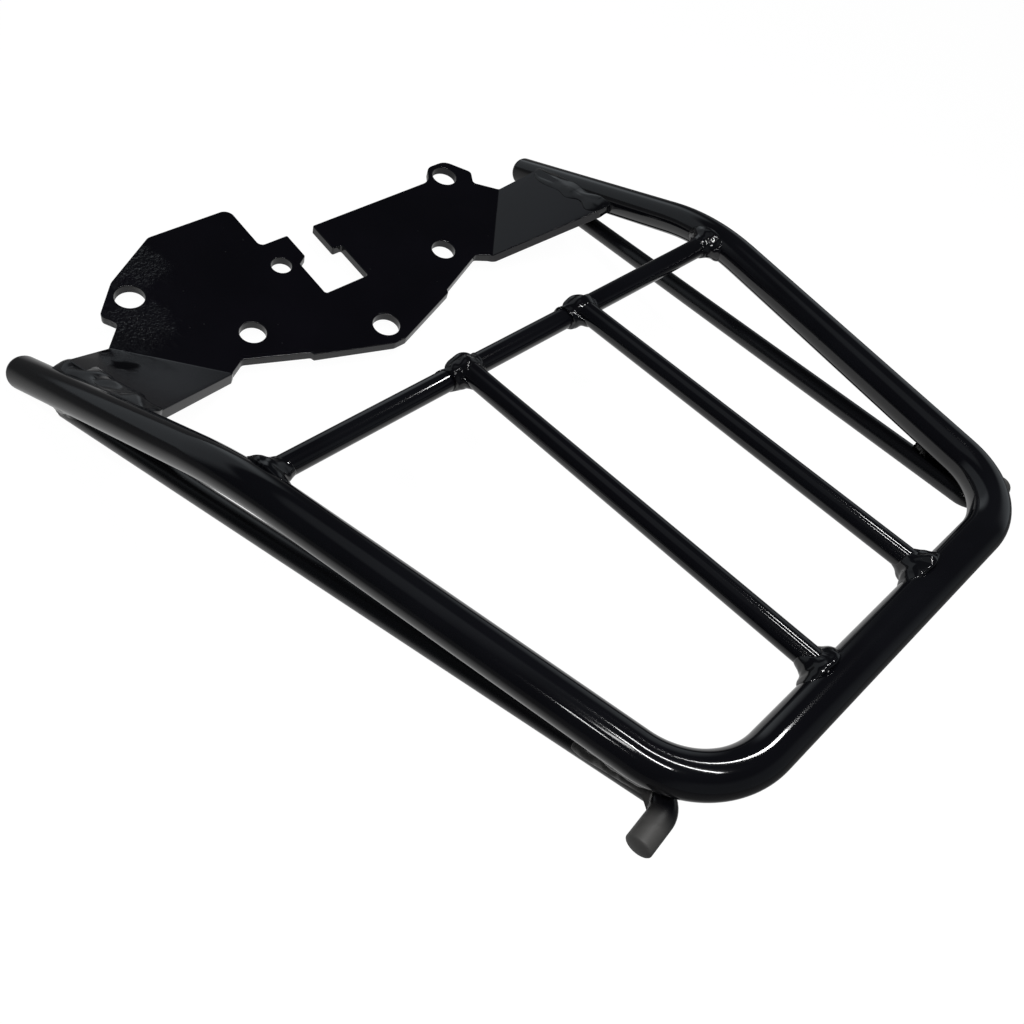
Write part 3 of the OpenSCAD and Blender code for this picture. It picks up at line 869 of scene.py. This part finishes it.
def paint(name, dark, light, rough=0.07, peel=0.0008, peel_size=430, waves=0.012, dust=0.2, marks=None):
    """Gloss black paint. The colours are near black, and the peel and the waves are heights in
    millimetres. marks gives what a piece has of its own: a height or a roughness to add, and the shares
    of it that are worn or flat black."""
    material = bpy.data.materials.new(name)
    m = Maker(material)
    place = m.node("ShaderNodeTexCoord").outputs["Object"]
    cloud = m.noise(place, 22, 3)
    fine = m.noise(place, peel_size, 1.5, 0.4)
    slow = m.noise(place, 70, 1.0, 0.4)
    grain = m.value("ShaderNodeTexVoronoi", "Distance", {"Vector": place, "Scale": 170}, feature="F1")
    few = m.noise(place, 34, 1).step(0.56, 0.62)
    specks = (1 - grain.step(0.05, 0.11)) * few * dust
    height = fine * peel + slow * waves + specks * 0.04
    roughness = rough + cloud * 0.04 + specks * 0.3
    colour = m.colours(cloud.step(0.35, 0.7), dark, light)
    own = marks(m, place) if marks else {}
    if "height" in own:
        height = height + own["height"]
    if "rough" in own:
        roughness = roughness + own["rough"]
    if "worn" in own:
        colour = m.colours(own["worn"], colour, worn_colour)
    skin = m.node("ShaderNodeBump", {"Strength": 1.0, "Distance": MM, "Height": height})
    shader = m.node("ShaderNodeBsdfPrincipled", {
        "Base Color": colour, "Roughness": roughness.clamped(), "IOR": 1.5, "Normal": skin.outputs["Normal"]})
    surface = shader.outputs["BSDF"]
    if "flat" in own:
        matt_black = m.node("ShaderNodeBsdfDiffuse", {"Color": (0.003, 0.003, 0.004, 1)})
        both = m.node("ShaderNodeMixShader", {0: own["flat"], 1: surface, 2: matt_black.outputs[0]})
        surface = both.outputs[0]
    m.node("ShaderNodeOutputMaterial", {"Surface": surface})
    return material


def spot(m, place, centre, wide, ragged, soft):
    """A ragged round spot: 1 inside the distance wide from a centre and 0 outside it, in metres."""
    far = m.value("ShaderNodeVectorMath", "Value", {0: place, 1: centre}, operation="DISTANCE")
    edge = (m.noise(place, 140, 2) - 0.5) * ragged
    return 1 - (far + edge).step(wide - soft, wide)


def plate_marks(m, place):
    """A patch of coarse orange peel beside the left fold, and two flat black spots on the left wing."""
    peel = m.noise(place, 560, 2, 0.6)
    patch = spot(m, place, (-0.1040, 0.0560, 0.005), 0.021, 0.016, 0.012)
    patch = patch + spot(m, place, (-0.0860, 0.0880, 0.005), 0.020, 0.016, 0.012)
    # two matte black spots on the left wing, darker than the gloss round them, with a slight rise
    flat_black_spots = spot(m, place, (-0.1258, 0.0492, 0.0068), 0.0045, 0.005, 0.002)
    flat_black_spots = flat_black_spots + spot(m, place, (-0.1249, 0.0310, 0.0150), 0.0075, 0.007, 0.003)
    return {"height": peel * patch * 0.75 + flat_black_spots * 0.15, "flat": flat_black_spots * 0.85}


def peg_marks(m, place):
    """The paint on the pegs is worn thin and dull, from the turn out to the end."""
    where = m.node("ShaderNodeSeparateXYZ", {"Vector": place})
    out = Value(m, where.outputs[0]).size()
    back = -Value(m, where.outputs[1])
    worn = out.step(0.104, 0.112) * back.step(0.235, 0.245)
    return {"rough": worn * 0.32, "worn": worn * (0.55 + m.noise(place, 60, 2) * 0.7)}


tube_paint = paint("tube_paint", (0.0034, 0.0034, 0.0050), (0.0050, 0.0052, 0.0072))
brace_paint = paint("brace_paint", (0.0034, 0.0034, 0.0050), (0.0050, 0.0052, 0.0072), rough=0.22,
                    marks=peg_marks)
plate_paint = paint("plate_paint", (0.0028, 0.0024, 0.0046), (0.0040, 0.0034, 0.0064),
                    rough=0.14, peel=0.004, waves=0.01, dust=1.0, marks=plate_marks)
bead_skin = {"peel": 0.004, "peel_size": 300, "waves": 0.03, "dust": 0.4}
weld_paint = paint("weld_paint", (0.0034, 0.0034, 0.0048), (0.0050, 0.0052, 0.0068), rough=0.08, **bead_skin)
# painted sheen: a lighter grey base colour stands in for the grey that these beads mirror
dull_paint = paint("dull_paint", (0.010, 0.010, 0.012), (0.024, 0.024, 0.026), rough=0.16, **bead_skin)
# painted sheen: a lighter grey base colour still, standing in for the grey that the beads by the pegs mirror
thin_paint = paint("thin_paint", (0.026, 0.025, 0.025), (0.060, 0.058, 0.056), rough=0.32, **bead_skin)

# A piece gets the first paint here whose word its name starts with, and the rest get the tube's.
paints = {"weld_brace_rear": thin_paint, "weld_brace": dull_paint, "weld_wing_bead_left": dull_paint,
          "weld": weld_paint, "brace": brace_paint, "plate": plate_paint, "": tube_paint}
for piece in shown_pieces():
    word = next(start for start in paints if piece.name.startswith(start))
    piece.data.materials.clear()
    piece.data.materials.append(paints[word])

# %% [markdown]
# The rack stands on a white floor in a white surround, so the camera sees white wherever the rack isn't.
# What the paint mirrors is another matter. Each tone in the photograph was divided by the share of light
# that the paint sends back at that angle, which gives the brightness of the room in each direction: a
# pale window low in front, a darker one on the right and behind, hardly anything overhead, and a white
# sheet under the rack that ends a hand's breadth outside it.

# %% Surround
world = bpy.data.worlds.new("surround")
bpy.context.scene.world = world
w = Maker(world)
seen = Value(w, w.node("ShaderNodeLightPath").outputs["Is Camera Ray"])
way = w.node("ShaderNodeSeparateXYZ", {"Vector": w.node("ShaderNodeTexCoord").outputs["Generated"]})
side_way, fore_way, up_way = (Value(w, way.outputs[i]) for i in range(3))
window = fore_way.step(0.66, 0.86) * (1 - side_way.step(0.55, 0.72)) * (1 - up_way.step(0.42, 0.52))
window = window * (1 + side_way.step(0.3, 0.5) * 0.9)
high_window = fore_way.step(0.2, 0.5) * (1 - side_way.step(0.1, 0.32)) * up_way.step(0.7, 0.8)
right_window = side_way.step(0.78, 0.92)
rear_window = (-fore_way).step(0.45, 0.75) * (1 - up_way.step(0.5, 0.75))
glow = 0.035 + window * 0.33 + high_window * 0.19 + right_window * 0.36 + rear_window * 0.10
level = glow * (1 - seen) + seen
tint = w.node("ShaderNodeMix", {"Factor": seen}, data_type="RGBA", clamp_factor=True)
tint.inputs[6].default_value = (0.88, 0.95, 1.0, 1)
tint.inputs[7].default_value = (1, 1, 1, 1)
sky = w.node("ShaderNodeBackground", {"Color": tint.outputs[2], "Strength": level})
w.node("ShaderNodeOutputWorld", {"Surface": sky.outputs["Background"]})
print("surround ready")

# %% [markdown]
# The floor has two looks. Straight from the camera it is white, with the rack's soft shadow, and in the
# paint it is dark but for an oval sheet, because that is how far the white under the real rack reached.

# %% Floor
floor_z = cad_low.z - 0.0006
floor_size = 1.6
floor_grid = np.array([[-1, -1, 0], [1, -1, 0], [1, 1, 0], [-1, 1, 0]], float) * floor_size
floor_mesh = bpy.data.meshes.new("floor")
floor_mesh.from_pydata((floor_grid + [0, 0, floor_z]).tolist(), [], [(0, 1, 2, 3)])
floor = bpy.data.objects.new("floor", floor_mesh)
bpy.context.scene.collection.objects.link(floor)
floor_paint = bpy.data.materials.new("floor_white")
f = Maker(floor_paint)
path = f.node("ShaderNodeLightPath")
straight = Value(f, path.outputs["Is Camera Ray"])
mirrored = Value(f, path.outputs["Is Glossy Ray"]) + Value(f, path.outputs["Is Transmission Ray"])
shown = (straight + mirrored).clamped()
spot_at = f.node("ShaderNodeSeparateXYZ", {"Vector": f.node("ShaderNodeTexCoord").outputs["Object"]})
over = (Value(f, spot_at.outputs[0]) + 0.03) / 0.30
along = (Value(f, spot_at.outputs[1]) + 0.10) / 0.22
sheet = 1 - (over * over + along * along).root().step(0.6, 1.3)
matt = f.node("ShaderNodeBsdfDiffuse", {"Color": (0.86, 0.86, 0.86, 1)})
bright = f.node("ShaderNodeEmission", {
    "Color": (1, 1, 1, 1), "Strength": straight * 1.085 + (1 - straight) * (0.08 + sheet * 0.66)})
mixed = f.node("ShaderNodeMixShader", {0: shown * 0.9, 1: matt.outputs[0], 2: bright.outputs[0]})
f.node("ShaderNodeOutputMaterial", {"Surface": mixed.outputs[0]})
floor_mesh.materials.append(floor_paint)
print("floor at", round(floor_z * 1000, 1), "mm")

# %% [markdown]
# The streaks on the tubes are mirror images of long, narrow lamps. Each lamp's direction was worked out
# by mirroring the camera's ray in the tube at points along a streak. Four of them lie nearly along the
# part's Y axis. The fifth is short and wide, and makes the bright blot on the near side.

# %% Lamps
lamp_distance = 0.6
near_corner = np.array([-0.09, -0.24, 0.11])


def strip(name, way, along, wide, long, radiance):
    """A rectangular lamp in a direction from the rack's near corner, which looks back at it, with its
    long side turned along another direction. Its power is pi times its area times its brightness."""
    way, along = unit(way), np.asarray(along, float)
    data = bpy.data.lights.new(name, "AREA")
    data.shape = "RECTANGLE"
    data.size, data.size_y = wide, long
    data.energy = math.pi * wide * long * radiance
    lamp = bpy.data.objects.new(name, data)
    lamp.visible_camera = False
    bpy.context.scene.collection.objects.link(lamp)
    upright = unit(along - (along @ way) * way)
    axes = np.column_stack([np.cross(upright, way), upright, way])
    place = near_corner + way * lamp_distance
    lamp.matrix_world = Matrix.Translation(place.tolist()) @ Matrix(axes.tolist()).to_4x4()
    return lamp


lamps = [
    strip("lamp_a", (-0.30, 0.03, 0.95), (0, 1, 0.03), 0.022, 0.22, 75),
    strip("lamp_b", (-0.76, 0.11, 0.64), (0, 1, 0), 0.018, 0.05, 45),
    strip("lamp_c", (0.16, 0.04, 0.98), (0, 1, -0.06), 0.018, 0.34, 65),
    strip("lamp_d", (0.575, 0.215, 0.795), (0, 1, -0.286), 0.020, 0.09, 80),
    strip("lamp_e", (-0.478, 0.16, 0.876), (0, 1, 0), 0.100, 0.020, 18),
]
print(len(lamps), "lamps")
